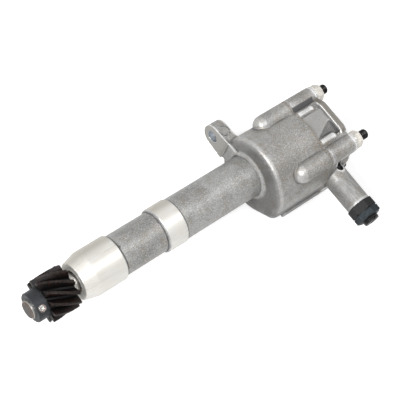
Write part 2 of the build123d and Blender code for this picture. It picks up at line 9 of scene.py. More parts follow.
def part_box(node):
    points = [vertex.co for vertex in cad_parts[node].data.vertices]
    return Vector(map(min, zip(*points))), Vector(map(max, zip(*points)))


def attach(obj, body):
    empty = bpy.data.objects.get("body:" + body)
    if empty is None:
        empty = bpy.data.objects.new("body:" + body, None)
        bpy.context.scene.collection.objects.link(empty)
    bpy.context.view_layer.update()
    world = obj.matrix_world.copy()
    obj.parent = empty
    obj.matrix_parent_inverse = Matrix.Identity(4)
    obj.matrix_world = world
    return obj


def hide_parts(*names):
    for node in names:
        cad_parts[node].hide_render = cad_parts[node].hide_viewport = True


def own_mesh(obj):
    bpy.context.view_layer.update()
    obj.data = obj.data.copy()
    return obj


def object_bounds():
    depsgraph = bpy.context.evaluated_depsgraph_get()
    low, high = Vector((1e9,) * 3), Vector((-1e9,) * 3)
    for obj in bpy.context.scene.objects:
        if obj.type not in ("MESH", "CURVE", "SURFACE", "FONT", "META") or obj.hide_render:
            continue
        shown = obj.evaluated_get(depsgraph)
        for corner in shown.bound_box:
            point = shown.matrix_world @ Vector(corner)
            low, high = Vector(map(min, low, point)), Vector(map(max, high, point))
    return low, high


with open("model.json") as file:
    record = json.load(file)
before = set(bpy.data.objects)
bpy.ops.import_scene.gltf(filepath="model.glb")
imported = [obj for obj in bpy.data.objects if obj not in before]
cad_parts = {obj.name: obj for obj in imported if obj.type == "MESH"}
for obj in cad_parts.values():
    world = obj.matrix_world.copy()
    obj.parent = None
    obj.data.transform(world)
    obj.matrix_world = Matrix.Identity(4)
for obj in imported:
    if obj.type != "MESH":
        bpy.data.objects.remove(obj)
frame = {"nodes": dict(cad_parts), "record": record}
nodes = frame["nodes"]
mm = 0.001
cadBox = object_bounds()
slotOf = {part["node"]: part["material_slot"] for part in frame["record"]["subparts"]}
print("frame loaded:", len(nodes), "nodes")


class Wire:
    # one output socket; sums and products of wires add their own Math nodes
    def __init__(self, shade, socket):
        self.shade = shade
        self.socket = socket

    def __add__(self, other):
        return self.shade.math("ADD", self, other)

    __radd__ = __add__

    def __sub__(self, other):
        return self.shade.math("SUBTRACT", self, other)

    def __rsub__(self, other):
        return self.shade.math("SUBTRACT", other, self)

    def __mul__(self, other):
        return self.shade.math("MULTIPLY", self, other)

    __rmul__ = __mul__

    def __pow__(self, other):
        return self.shade.math("POWER", self, other)


class Shade:
    # the node tree of one material or world
    def __init__(self, owner):
        owner.use_nodes = True
        self.owner = owner
        self.tree = owner.node_tree
        self.tree.nodes.clear()

    def node(self, kind, settings=None, sockets=None, output=0):
        made = self.tree.nodes.new(kind)
        for name, value in (settings or {}).items():
            setattr(made, name, value)
        for name, value in (sockets or {}).items():
            self.plug(self.findSocket(made.inputs, name), value)
        if made.outputs:
            return Wire(self, self.findSocket(made.outputs, output))

    def findSocket(self, group, name):
        if isinstance(name, int):
            return group[name]
        for socket in group:
            if socket.identifier == name:
                return socket
        return group[name]

    def plug(self, socket, value):
        if isinstance(value, Wire):
            self.tree.links.new(value.socket, socket)
        elif isinstance(value, tuple) and len(value) == 3 and socket.type == "RGBA":
            socket.default_value = (*value, 1)
        else:
            socket.default_value = value

    def math(self, operation, a, b):
        return self.node("ShaderNodeMath", {"operation": operation}, {0: a, 1: b})

    def vector(self, operation, a, b, output=0):
        return self.node("ShaderNodeVectorMath", {"operation": operation}, {0: a, 1: b}, output)

    def most(self, a, b):
        return self.math("MAXIMUM", a, b)

    def rise(self, value, low, high):
        # 0 below low, 1 above high, smooth between
        return self.node("ShaderNodeMapRange", {"interpolation_type": "SMOOTHSTEP"},
                         {"Value": value, "From Min": low, "From Max": high})

    def fall(self, value, low, high):
        return 1 - self.rise(value, low, high)

    def band(self, value, low, high, soft):
        # 1 between low and high, fading out over soft
        return self.rise(value, low - soft, low) * self.fall(value, high, high + soft)

    def mix(self, factor, a, b):
        return self.node("ShaderNodeMix", {"data_type": "RGBA"},
                         {"Factor_Float": factor, "A_Color": a, "B_Color": b}, "Result_Color")

    def place(self):
        # the frame's own coordinates, in millimetres
        spot = self.node("ShaderNodeTexCoord", output="Object")
        return self.node("ShaderNodeVectorMath", {"operation": "SCALE"}, {0: spot, "Scale": 1000})

    def stretch(self, where, scale):
        return self.vector("MULTIPLY", where, scale)

    def split(self, where):
        made = self.tree.nodes.new("ShaderNodeSeparateXYZ")
        self.tree.links.new(where.socket, made.inputs[0])
        return [Wire(self, socket) for socket in made.outputs]

    def reach(self, a, b, middle=(0.0, 0.0)):
        # distance from an axis, from the two coordinates across it
        return ((a - middle[0]) ** 2 + (b - middle[1]) ** 2) ** 0.5

    def noise(self, where, scale, detail=4.0, rough=0.55, warp=0.0):
        return self.node("ShaderNodeTexNoise", None,
                         {"Vector": where, "Scale": scale, "Detail": detail, "Roughness": rough,
                          "Distortion": warp}, "Fac")

    def bump(self, height):
        # a height of 1 stands for a millimetre
        return self.node("ShaderNodeBump", None, {"Height": height, "Distance": mm, "Strength": 1.0})

    def finish(self, **sockets):
        surface = self.node("ShaderNodeBsdfPrincipled", None, {
            name.replace("_", " "): value for name, value in sockets.items()})
        self.node("ShaderNodeOutputMaterial", None, {"Surface": surface})
        return self.owner


def newShade(name):
    return Shade(bpy.data.materials.new(name))


def addObject(name, data):
    made = bpy.data.objects.new(name, data)
    bpy.context.scene.collection.objects.link(made)
    return made


cameraPlace = {
    "shaftTilt": 27.0,         # the gear end comes towards the camera
    "sectionTurn": 15.0,       # the relief tube's side comes up
    "pictureTurn": 31.5,
    "lens": 108.0,
    "sensor": 36.0,
    "farClip": 50.0,
    "lookAt": (70.65, 0.0, 0.0),
    "distance": 818.3,
    "along": 34.3,
    "across": 2.46,
}


def makeCamera(place):
    tilt = math.radians(place["shaftTilt"])
    turn = math.radians(place["sectionTurn"])
    roll = math.radians(place["pictureTurn"])
    along = Vector((math.cos(tilt), -math.sin(turn) * math.sin(tilt), math.cos(turn) * math.sin(tilt)))
    across = Vector((0, -math.cos(turn), -math.sin(turn)))
    towards = Vector((-math.sin(tilt), -math.sin(turn) * math.cos(tilt), math.cos(turn) * math.cos(tilt)))
    right = along * math.cos(roll) + across * math.sin(roll)
    up = along * math.sin(roll) - across * math.cos(roll)
    spot = Vector(place["lookAt"]) - along * place["along"] - across * place["across"]
    spot += towards * place["distance"]
    data = bpy.data.cameras.new("camera")
    data.lens = place["lens"]
    data.sensor_width = place["sensor"]
    data.clip_end = place["farClip"]
    camera = addObject("camera", data)
    turned = Matrix((right, up, towards)).transposed().to_4x4()
    camera.matrix_world = Matrix.Translation(spot * mm) @ turned
    bpy.context.scene.camera = camera


makeCamera(cameraPlace)
print("camera placed")


floorLook = {
    "colour": (0.86, 0.86, 0.86),
    "size": 12.0,
    "glow": 0.50,
    "mirrored": 0.15,
    "plainFrom": 450.0,
    "whiteFrom": 1500.0,
}
worldLook = {
    "seen": 1.0,
    "low": 0.20,
    "high": 0.40,
    "lowFrom": -0.1,
    "highFrom": 1.0,
}
lamps = [
    # name, place, size, power
    ("keyLamp", (0.20, -0.24, 1.0), (0.95, 0.46), 3.0),
    ("frontLamp", (-0.64, -0.08, 0.78), (0.20, 0.90), 10.5),
]
white = (1.0, 1.0, 1.0)


def makeFloor(look):
    # matt and pale under the pump, glowing to white where it meets the background
    data = bpy.data.meshes.new("floor")
    half = look["size"] / 2
    low = cadBox[0][2]
    data.from_pydata([(-half, -half, low), (half, -half, low), (half, half, low), (-half, half, low)],
                     [], [(0, 1, 2, 3)])
    floor = addObject("floor", data)
    shade = newShade("paleFloor")
    camera = shade.node("ShaderNodeLightPath", output="Is Camera Ray")
    glossy = shade.node("ShaderNodeLightPath", output="Is Glossy Ray")
    x, y = shade.split(shade.place())[:2]
    far = shade.rise(shade.reach(x, y), look["plainFrom"], look["whiteFrom"])
    glow = shade.most(camera * (look["glow"] + far * (1 - look["glow"])), glossy * look["mirrored"])
    matt = shade.node("ShaderNodeBsdfDiffuse", None, {"Color": look["colour"]})
    light = shade.node("ShaderNodeEmission", None, {"Color": white, "Strength": glow})
    both = shade.node("ShaderNodeAddShader", None, {0: matt, 1: light})
    shade.node("ShaderNodeOutputMaterial", None, {"Surface": both})
    data.materials.append(shade.owner)


def makeWorld(look):
    # white where it is seen; a soft studio that is brighter overhead where it lights
    world = bpy.data.worlds.new("studio")
    bpy.context.scene.world = world
    shade = Shade(world)
    rays = [shade.node("ShaderNodeLightPath", output="Is " + kind + " Ray")
            for kind in ("Camera", "Glossy", "Transmission")]
    seen = shade.most(shade.most(rays[0], rays[1]), rays[2])
    up = shade.split(shade.node("ShaderNodeTexCoord", output="Generated"))[2]
    overhead = shade.rise(up, look["lowFrom"], look["highFrom"])
    studio = look["low"] + overhead * (look["high"] - look["low"])
    strength = seen * look["seen"] + (1 - seen) * studio
    sky = shade.node("ShaderNodeBackground", None, {"Color": white, "Strength": strength})
    shade.node("ShaderNodeOutputWorld", None, {"Surface": sky})


def makeLamp(name, place, size, power):
    data = bpy.data.lights.new(name, "AREA")
    data.shape = "RECTANGLE"
    data.size, data.size_y = size
    data.energy = power
    lamp = addObject(name, data)
    spot = Vector(place)
    back = spot.normalized()
    side = (Vector((1, 0, 0)) - back * back.x).normalized()
    turned = Matrix((side, back.cross(side), back)).transposed().to_4x4()
    lamp.matrix_world = Matrix.Translation(spot) @ turned


makeFloor(floorLook)
makeWorld(worldLook)
for lamp in lamps:
    makeLamp(*lamp)
bpy.context.scene.view_settings.view_transform = "Standard"
print("floor, world and lamps made")


def meshRows(mesh, what="co"):
    # places or normals, one row per vertex
    flat = np.empty(3 * len(mesh.vertices))
    mesh.vertices.foreach_get(what, flat)
    return flat.reshape(-1, 3)


def meshPairs(mesh):
    # the two ends of each edge
    flat = np.empty(2 * len(mesh.edges), dtype=np.int64)
    mesh.edges.foreach_get("vertices", flat)
    return flat.reshape(-1, 2).T


def settled(piece):
    # the piece's mesh with its modifiers applied
    graph = bpy.context.evaluated_depsgraph_get()
    return bpy.data.meshes.new_from_object(piece.evaluated_get(graph))


def corners(name):
    low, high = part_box(name)
    return np.array(low) / mm, np.array(high) / mm


mounts = {mount["name"]: mount for mount in frame["record"]["mounts"]}


def mountSpot(name):
    return [c / mm for c in mounts[name]["pos_m"]]


# places that the frame gives, in millimetres
jointX, coverX = (corner[0] for corner in corners("cover_gasket"))
coverEndX = corners("rear_cover")[1][0]
tubeEndY = corners("adjuster_lock_nut")[1][1]
screwLow, screwHigh = corners("adjusting_screw")
nutLow, nutHigh = corners("stud_nuts")
plungerLow, plungerHigh = corners("relief_plunger")
gearX = corners("helical_gear")[0][0]
shaftX = corners("drive_shaft")[0][0]
frontPilot = mountSpot("front_pilot")
frontBandX = frontPilot[0] + mounts["front_pilot"]["dims"]["length_mm"] / 2
rearBandX = mounts["rear_pilot"]["dims"]["length_mm"] / 2
lugHole = mountSpot("lug_bolt_hole")
seatX = mountSpot("lug_seat")[0]
outletZ = mountSpot("outlet_face")[2]
outletBore = mountSpot("outlet_port")
inlet = mountSpot("inlet_socket")
tubeX = (plungerLow[0] + plungerHigh[0]) / 2
flangeX = coverEndX - 4.7                      # the cover's rear flange is 4.7 thick
spillHole = (tubeX + 2.3, plungerHigh[1] - 5.8)
shaftAxis = (0.0, 0.0)
rotorAxis = (inlet[1], 0.0)                    # the inlet is bored level with the rotors


def addPiece(name, mesh, body, replaced):
    piece = addObject(name, mesh)
    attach(piece, body)
    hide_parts(replaced)
    return piece


def ramp(values, low, high):
    return np.clip((values - low) / (high - low), 0, 1)


def farFrom(a, b, middle, near, far):
    # 0 within near of an axis, 1 beyond far
    return ramp(np.hypot(a - middle[0], b - middle[1]), near, far)


castMeshes = {
    # voxel and snap in millimetres, sharp in degrees
    "pump_body": {"voxel": 0.45, "passes": 8, "kept": 0.36, "snap": 1.2, "sharp": 34},
    "rear_cover": {"voxel": 0.5, "passes": 4, "kept": 0.5, "snap": 1.2, "sharp": 34},
}
hollowLook = {"passes": 26, "limit": 2}


def smoothed(spots, first, second, share, passes):
    # each pass moves a point halfway to the middle of its neighbours, as far as its share lets it
    count = len(spots)
    around = np.bincount(first, minlength=count) + np.bincount(second, minlength=count)
    for step in range(passes):
        total = np.empty_like(spots)
        for k in range(3):
            total[:, k] = (np.bincount(first, spots[second, k], count)
                           + np.bincount(second, spots[first, k], count))
        spots = spots + 0.5 * share * (total / around[:, None] - spots)
    return spots


def softCasting(name, castShare, look):
    # remeshed copy of a casting: cast edges rounded, machined faces kept on the CAD surface
    source = nodes[name].data
    draft = addObject(name + "Draft", source.copy())
    remesh = draft.modifiers.new("remesh", "REMESH")
    remesh.mode = "VOXEL"
    remesh.voxel_size = look["voxel"] * mm
    mesh = settled(draft)
    spots = meshRows(mesh) / mm
    share = castShare(spots)
    spots = smoothed(spots, *meshPairs(mesh), share[:, None], look["passes"])
    tree = BVHTree.FromPolygons([v.co for v in source.vertices], [p.vertices for p in source.polygons])
    for k in np.nonzero(share < 0.999)[0]:
        found = tree.find_nearest(Vector(spots[k] * mm), look["snap"] * mm)[0]
        if found is not None:
            spots[k] += (1 - share[k]) * (np.array(found) / mm - spots[k])
    mesh.vertices.foreach_set("co", (spots * mm).ravel())
    draft.data = mesh
    draft.modifiers.clear()
    thin = draft.modifiers.new("thin", "DECIMATE")
    thin.ratio = look["kept"]
    done = settled(draft)
    done.materials.clear()
    done.shade_smooth()
    done.set_sharp_from_angle(angle=math.radians(look["sharp"]))
    bpy.data.objects.remove(draft)
    print(name, "softened:", len(done.polygons), "faces")
    return done


# each pair of lengths runs from the kept face to the cast skin
bodyKeep = {
    "rotorPocket": (23.0, 23.6),
    "joint": (0.3, 1.3),
    "frontWallX": 84.0,
    "frontWall": (0, 2.0),
    "frontBore": (10.0, 11.0),
    "neckX": (62.0, 66.0),
    "lugSeat": (0.25, 0.75),
    "lugSeatY": 20.0,
    "underSeat": (0, 1.0),
    "lugHole": (4.9, 5.6),
    "outletFace": (0.2, 0.8),
    "outletBore": (5.0, 5.6),
}
coverKeep = {
    "joint": (0.3, 1.3),
    "back": (0.1, 0.6),
    "tubeEnd": (0.2, 1.0),
    "valveBore": (6.3, 7.0),
    "inletSocket": (6.0, 6.6),
    "spillHole": (2.9, 3.5),
}


def bodyCastShare(spots):
    # 0 on machined faces and 1 on the cast skin
    keep = bodyKeep
    x, y, z = spots.T
    outside = farFrom(y, z, rotorAxis, *keep["rotorPocket"]) * ramp(jointX - x, *keep["joint"])
    frontWall = ramp(keep["frontWallX"] - x, *keep["frontWall"]) * farFrom(y, z, shaftAxis, *keep["frontBore"])
    share = np.maximum(outside, frontWall) * ramp(x, *keep["neckX"])
    share *= np.maximum(ramp(x - seatX, *keep["lugSeat"]), ramp(keep["lugSeatY"] - y, *keep["underSeat"]))
    share *= farFrom(y, z, lugHole[1:], *keep["lugHole"])
    share *= ramp(z - outletZ, *keep["outletFace"])
    return share * farFrom(x, y, outletBore, *keep["outletBore"])


def coverCastShare(spots):
    keep = coverKeep
    x, y, z = spots.T
    share = ramp(x - coverX, *keep["joint"])
    share *= ramp(coverEndX - x, *keep["back"])
    share *= ramp(y - tubeEndY, *keep["tubeEnd"])
    share *= farFrom(x, z, (tubeX, 0.0), *keep["valveBore"])
    share *= farFrom(y, z, inlet[1:], *keep["inletSocket"])
    return share * farFrom(x, y, spillHole, *keep["spillHole"])


def markHollows(mesh, look):
    # how deep each point lies in a hollow (positive) or stands on an edge (negative), in mm
    spots = meshRows(mesh) / mm
    soft = smoothed(spots, *meshPairs(mesh), np.ones((len(spots), 1)), look["passes"])
    depth = ((soft - spots) * meshRows(mesh, "normal")).sum(axis=1)
    marks = mesh.attributes.new("hollow", "FLOAT", "POINT")
    marks.data.foreach_set("value", np.clip(depth, -look["limit"], look["limit"]))


visible = {}
for name, castShare in (("pump_body", bodyCastShare), ("rear_cover", coverCastShare)):
    mesh = softCasting(name, castShare, castMeshes[name])
    markHollows(mesh, hollowLook)
    visible[name] = addPiece(name + "Cast", mesh, "casing", name)
print("castings softened")


studLook = {
    "pitch": 1.0,
    "depth": 0.42,
    "dome": 1.3,
    "threaded": 17.0,
    "across": 40,
    "alongPitch": 10,
}
screwLook = {
    "pitch": 1.25,
    "depth": 0.55,
    "dome": 1.1,
    "threaded": 12.0,
    "across": 56,
    "alongPitch": 10,
    "slot": 1.8,
    "slotDepth": 1.6,
    "slotReach": 20.0,
}
threadFlank = 2.6              # higher is a narrower groove


def circleAngles(count):
    return [2 * math.pi * k / count for k in range(count)]


def ringsToMesh(rings):
    # faces between rings of as many points each, closed at both ends
    across = len(rings[0])
    points = [point for ring in rings for point in ring]
    faces = []
    for row in range(len(rings) - 1):
        for k in range(across):
            a = row * across + k
            b = row * across + (k + 1) % across
            faces.append((a, b, b + across, a + across))
    last = (len(rings) - 1) * across
    faces.append(tuple(reversed(range(across))))
    faces.append(tuple(last + k for k in range(across)))
    return points, faces


def threadedBar(start, end, radius, look):
    # a bar along +X with a cut thread near its domed end
    pitch, dome, across = look["pitch"], look["dome"], look["across"]
    threadStart = max(start, end - look["threaded"])
    steps = int((end - threadStart) / pitch * look["alongPitch"])
    stations = [start, threadStart - 0.01]
    stations += [threadStart + (end - threadStart) * k / steps for k in range(steps + 1)]
    rings = []
    for x in stations:
        left = end - x
        limit = radius
        if left < dome:
            limit = radius - dome + math.sqrt(max(0.0, dome ** 2 - (dome - left) ** 2))
        runOut = min(1.0, max(0.0, (x - threadStart) / pitch))
        ring = []
        for k, angle in enumerate(circleAngles(across)):
            phase = (x / pitch - k / across) % 1.0
            groove = look["depth"] * (1 - min(1.0, threadFlank * abs(phase - 0.5)))
            r = min(radius - groove * runOut, limit)
            ring.append((x, r * math.cos(angle), r * math.sin(angle)))
        rings.append(ring)
    return ringsToMesh(rings)


def meshOf(name, points, faces, sharp=40):
    mesh = bpy.data.meshes.new(name)
    mesh.from_pydata([tuple(c * mm for c in point) for point in points], [], faces)
    mesh.validate()
    mesh.shade_smooth()
    mesh.set_sharp_from_angle(angle=math.radians(sharp))
    return mesh


def makeStuds(look):
    spots = meshRows(nodes["body_studs"].data) / mm
    middle = (nutLow + nutHigh) / 2
    points, faces = [], []
    for side in (1, -1):
        for level in (1, -1):
            own = spots[((spots[:, 1] - middle[1]) * side > 0) & ((spots[:, 2] - middle[2]) * level > 0)]
            low, high = own.min(axis=0), own.max(axis=0)
            radius = (high[1] - low[1]) / 2
            bar, skin = threadedBar(low[0], high[0], radius, look)
            y, z = (low[1] + high[1]) / 2, (low[2] + high[2]) / 2
            base = len(points)
            points += [(a, b + y, c + z) for a, b, c in bar]
            faces += [tuple(base + k for k in face) for face in skin]
    return addPiece("threadedStuds", meshOf("threadedStuds", points, faces), "casing", "body_studs")


def cutSlot(mesh, look):
    # screwdriver slot across the free end
    width, depth, reach = look["slot"] / 2, look["slotDepth"], look["slotReach"]
    x, y = tubeX, screwLow[1]
    block = [(x + a * width, y + b, c * reach) for a in (-1, 1) for b in (-depth, depth) for c in (-1, 1)]
    skin = [(0, 1, 3, 2), (4, 6, 7, 5), (0, 4, 5, 1), (2, 3, 7, 6), (0, 2, 6, 4), (1, 5, 7, 3)]
    cutter = addObject("slotCutter", meshOf("slotCutter", block, skin))
    target = addObject("slotTarget", mesh)
    cut = target.modifiers.new("slot", "BOOLEAN")
    cut.operation = "DIFFERENCE"
    cut.solver = "EXACT"
    cut.object = cutter
    done = settled(target)
    for piece in (cutter, target):
        bpy.data.objects.remove(piece)
    return done


def makeScrew(look):
    radius = (screwHigh[0] - screwLow[0]) / 2
    bar, faces = threadedBar(0.0, screwHigh[1] - screwLow[1], radius, look)
    points = [(tubeX + b, screwHigh[1] - a, c) for a, b, c in bar]
    faces = [tuple(reversed(face)) for face in faces]
    mesh = cutSlot(meshOf("threadedScrew", points, faces), look)
    return addPiece("threadedScrew", mesh, "casing", "adjusting_screw")


pinLook = {
    "across": 36,
    "sharp": 60,
    # depth below the pin's end, radius
    "profile": [(0.45, 0.02), (0.30, 0.22), (0.12, 0.42), (0.10, 0.60), (0.30, 0.74), (0.58, 0.88),
                (0.58, 1.02), (0.20, 1.18), (0.02, 1.36), (0.0, 1.62), (0.10, 1.84), (0.32, 2.0)],
}


def pinAxis():
    # middle and direction of the cross pin
    spots = meshRows(nodes["gear_pin"].data) / mm
    centre = (spots.min(axis=0) + spots.max(axis=0)) / 2
    way = np.linalg.svd(spots - spots.mean(axis=0), full_matrices=False)[2][0]
    return centre, way, np.abs((spots - centre) @ way).max()


def makePin(look):
    # cross pin with peened, dimpled ends
    centre, way, reachOut = pinAxis()
    side = np.cross(way, (1.0, 0.0, 0.0))
    side /= np.linalg.norm(side)
    other = np.cross(way, side)
    profile = [(reachOut - depth, r) for depth, r in look["profile"]]
    profile += [(-t, r) for t, r in reversed(profile)]
    rings = []
    for t, r in profile:
        rings.append([tuple(centre + way * t + side * r * math.cos(angle) + other * r * math.sin(angle))
                      for angle in circleAngles(look["across"])])
    mesh = meshOf("peenedPin", *ringsToMesh(rings), look["sharp"])
    return addPiece("peenedPin", mesh, "drive", "gear_pin")


springLook = {
    "turns": 6.5,
    "wire": 0.6,
    "perTurn": 40,
    "around": 14,
    "closed": 0.9,             # turns that lie close at each end
    "closedShare": 0.06,       # of the length, at each end
}


def makeSpring(look):
    # coil of the relief spring, as long as the part it replaces
    wire, closed, ends = look["wire"], look["closed"], look["closedShare"]
    low, high = corners("relief_spring")
    radius = (high[0] - low[0]) / 2 - wire
    start, end = low[1] + wire, high[1] - wire
    free = look["turns"] - 2 * closed
    rings = []
    for step in range(int(look["turns"] * look["perTurn"]) + 1):
        turned = step / look["perTurn"]
        angle = 2 * math.pi * turned
        share = (1 - 2 * ends) * min(1.0, max(0.0, (turned - closed) / free))
        share += ends * min(1.0, turned / closed)
        share += ends * max(0.0, 1 - (look["turns"] - turned) / closed)
        middle = start + (end - start) * share
        ring = []
        for across in circleAngles(look["around"]):
            r = radius + wire * math.cos(across)
            ring.append((tubeX + r * math.cos(angle), middle + wire * math.sin(across), r * math.sin(angle)))
        rings.append(ring)
    coil = addPiece("reliefCoil", meshOf("reliefCoil", *ringsToMesh(rings)), "casing", "relief_spring")
    slide = [joint for joint in frame["record"]["behaviour"]["joints"] if joint["name"] == "relief_slide"][0]
    travel = slide["range_m"][1] / mm
    1 - travel / (high[1] - low[1])
    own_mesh(coil)
    return coil


visible["body_studs"] = makeStuds(studLook)
visible["adjusting_screw"] = makeScrew(screwLook)
visible["gear_pin"] = makePin(pinLook)
visible["relief_spring"] = makeSpring(springLook)
print("studs, adjusting screw, pin and spring made")


castLook = {
    "pale": (0.335, 0.335, 0.328),
    "dull": (0.225, 0.223, 0.216),
    "brown": (0.235, 0.20, 0.155),
    # dark colour for dirt and for painted shade in hollows, creases and recesses
    "grimeAndShade": (0.06, 0.06, 0.062),
    "glint": (0.90, 0.90, 0.90),
    "brownShare": 0.55,
    "rearBrown": 0.14,
    "glintShare": 0.34,
    "speckShade": 0.32,
    "hollows": (0.05, 0.32),
    "edges": (-0.26, -0.07),
    "jointSpared": 1.2,        # no worn, lighter edges, partly painted highlight, this near the gasket
    "wallShade": 0.50,
    "underShade": 0.62,
    "seamShade": 0.5,
    "metal": 0.50,
    "rough": 0.42,
    "grain": 1.15,
    "grainDepth": 0.10,
    "pitDepth": 0.12,
}
turnedLook = {
    "pale": (0.76, 0.75, 0.72),
    "dull": (0.60, 0.575, 0.525),
    "sideShade": (0.34, 0.315, 0.265),
    "sideShadeShare": 0.6,
    "metal": 0.60,
    "rough": 0.27,
    "lines": 3.5,
    "lineDepth": 0.006,
    "stepShade": 0.45,
    "seatDull": 0.65,
}
boreLook = {"colour": (0.62, 0.65, 0.68), "rough": 0.20, "metal": 0.8}
markLook = {"centre": (seatX + 5.4, lugHole[1] - 3.3), "radius": 3.7, "width": 0.35, "shade": 0.8}


def castSurface(shade, where, x, look):
    # colour, roughness and height of the as-cast skin, with painted shade in its hollows, painted glints in
    # its speckle and painted highlights on its worn edges, and where its brown patches are
    hollow = shade.node("ShaderNodeAttribute", {"attribute_name": "hollow"}, output="Fac")
    cloud = shade.noise(where, 0.045, 5.0, 0.62)
    patch = shade.noise(where, 0.16, 5.0, 0.65, 0.4)
    speck = shade.noise(where, 1.6, 3.0, 0.7)
    grain = shade.noise(where, look["grain"], 4.0, 0.68)
    pits = shade.noise(where, 0.5, 3.0, 0.6)
    colour = shade.mix(shade.rise(cloud, 0.36, 0.62), look["dull"], look["pale"])
    brown = shade.rise(patch, 0.46, 0.68) * look["brownShare"]
    brown = brown + shade.rise(x, 60.0, 90.0) * look["rearBrown"]
    colour = shade.mix(brown, colour, look["brown"])
    # painted glints: pale specks stand in for sparkle off the cast grain
    colour = shade.mix(shade.rise(speck, 0.52, 0.63) * look["glintShare"], colour, look["glint"])
    colour = shade.mix(shade.fall(speck, 0.36, 0.48) * look["speckShade"], colour, look["grimeAndShade"])
    # painted shade: darker in hollows and creases, together with dirt
    grimeAndShade = shade.rise(hollow, *look["hollows"]) * (0.40 + patch * 0.8)
    colour = shade.mix(grimeAndShade, colour, look["grimeAndShade"])
    spared = shade.band(x, jointX - look["jointSpared"], coverX + look["jointSpared"], 0.8)
    # painted highlight: convex edges lightened toward the glint colour, partly wear
    wearAndSheen = shade.fall(hollow, *look["edges"]) * (1 - spared)
    colour = shade.mix(wearAndSheen * (0.72 + shade.rise(speck, 0.45, 0.6) * 0.28), colour, look["glint"])
    rough = look["rough"] + (grain - 0.5) * 0.3 + grimeAndShade * 0.3 - wearAndSheen * 0.15
    height = grain * look["grainDepth"] + pits * look["pitDepth"]
    return colour, rough, height, patch


def browned(shade, where, near, colour, look):
    # oil stain along the gasket
    seam = near * shade.rise(shade.noise(where, 0.22, 4.0, 0.6), 0.45, 0.7)
    return shade.mix(seam * look["seamShade"], colour, look["brown"])


def turnedColour(shade, where, y, patch, seat, cast, look):
    # colour, roughness and height of a lathe-turned face, with painted shade on its +Y side
    ring = shade.noise(shade.stretch(where, (0.35, 0.0, 0.0)), look["lines"], 4.0, 0.75)
    smear = shade.noise(shade.stretch(where, (0.10, 0.6, 0.6)), 0.5, 5.0, 0.65)
    streak = shade.noise(shade.stretch(where, (0.04, 1.0, 1.0)), 1.2, 3.0, 0.7)
    colour = shade.mix(smear, look["dull"], look["pale"])
    colour = shade.mix(shade.rise(streak, 0.52, 0.70) * 0.22, colour, cast["brown"])
    colour = shade.mix(shade.rise(patch, 0.60, 0.75) * 0.3, colour, cast["brown"])
    # painted shade: the turned faces darker beige toward +Y
    colour = shade.mix(shade.rise(y, 3.0, 11.0) * look["sideShadeShare"], colour, look["sideShade"])
    colour = shade.mix(seat * look["seatDull"], colour, cast["dull"])
    return colour, look["rough"] + ring * 0.08 + smear * 0.12, ring * look["lineDepth"]


def bodyFinish(look, turned, bore, mark):
    shade = newShade("castBody")
    where = shade.place()
    x, y, z = shade.split(where)
    colour, rough, castHeight, patch = castSurface(shade, where, x, look)

    seat = shade.fall(x, seatX + 0.15, seatX + 0.3) * shade.rise(y, 20.0, 20.1)
    bands = shade.most(shade.fall(x, frontBandX - 0.05, frontBandX + 0.05),
                       shade.band(x, 0.05 - rearBandX, rearBandX - 0.05, 0.05))
    machined = shade.most(bands, seat)
    bright, brightRough, lines = turnedColour(shade, where, y, patch, seat, look, turned)
    colour = shade.mix(machined, colour, bright)
    rough = rough + machined * (brightRough - rough)
    # painted shade: dark lines in the steps beside the turned bands
    steps = [shade.band(x, near, near + 0.6, 0.25)
             for near in (frontBandX + 0.1, -rearBandX - 0.75, rearBandX + 0.15)]
    stepEdges = shade.most(steps[0], shade.most(steps[1], steps[2]))
    colour = shade.mix(stepEdges * turned["stepShade"], colour, look["grimeAndShade"])

    inBore = shade.fall(shade.reach(y, z, (lugHole[1], 0.0)), 4.40, 4.50)
    colour = shade.mix(inBore, colour, bore["colour"])
    rough = rough + inBore * (bore["rough"] - rough)

    onMark = shade.band(shade.reach(x, y, mark["centre"]), mark["radius"] - mark["width"],
                        mark["radius"] + mark["width"], 0.2)
    onMark = onMark * shade.rise(z, 5.0, 6.0) * shade.rise(shade.noise(where, 0.55, 2.0), 0.40, 0.55)
    colour = shade.mix(onMark * mark["shade"], colour, look["grimeAndShade"])

    # painted shade: the front wall beside the lug and the lower side of the housing darkened
    wall = shade.band(x, seatX + 2.0, seatX + 2.9, 1.3) * shade.rise(shade.reach(y, z), 18.2, 19.2)
    wall = wall * shade.fall(y, 24.0, 30.0)
    under = shade.fall(y, -25.0, -23.0) * shade.fall(z, -7.0, -1.5)
    shaded = shade.most(wall * look["wallShade"], under * look["underShade"])
    colour = shade.mix(shaded, colour, look["grimeAndShade"])
    colour = browned(shade, where, shade.band(x, jointX - 0.7, jointX + 1, 0.6), colour, look)

    metal = look["metal"] + machined * (turned["metal"] - look["metal"])
    metal = metal + inBore * (bore["metal"] - metal)
    height = castHeight * (1 - machined) * (1 - inBore) + lines * machined
    return shade.finish(Base_Color=colour, Metallic=metal, Roughness=rough, Normal=shade.bump(height))


coverLook = {
    "pocketFloor": 26.18,
    "pocketFloorLight": 0.55,
    "scoopShade": 0.55,
    "besideShade": 0.9,
    "rim": (0.185, 0.17, 0.145),
    "rimShare": 0.9,
    "tubePale": (0.38, 0.38, 0.375),
    "tubeShare": 0.6,
    "tubeReach": 10.4,
    "spill": (0.006, 0.006, 0.007),
}


def tubeColour(shade, where, x, patch, cast, look):
    # drawn marks along the relief tube, and painted shade on its gear side
    brushed = shade.noise(shade.stretch(where, (1.0, 0.25, 1.0)), 0.45, 5.0, 0.68)
    colour = shade.mix(shade.rise(brushed, 0.40, 0.62), cast["dull"], look["tubePale"])
    colour = shade.mix(shade.rise(patch, 0.50, 0.68) * 0.55, colour, cast["brown"])
    return shade.mix(shade.fall(x, tubeX - 7.5, tubeX - 1.0) * 0.55, colour, cast["grimeAndShade"])


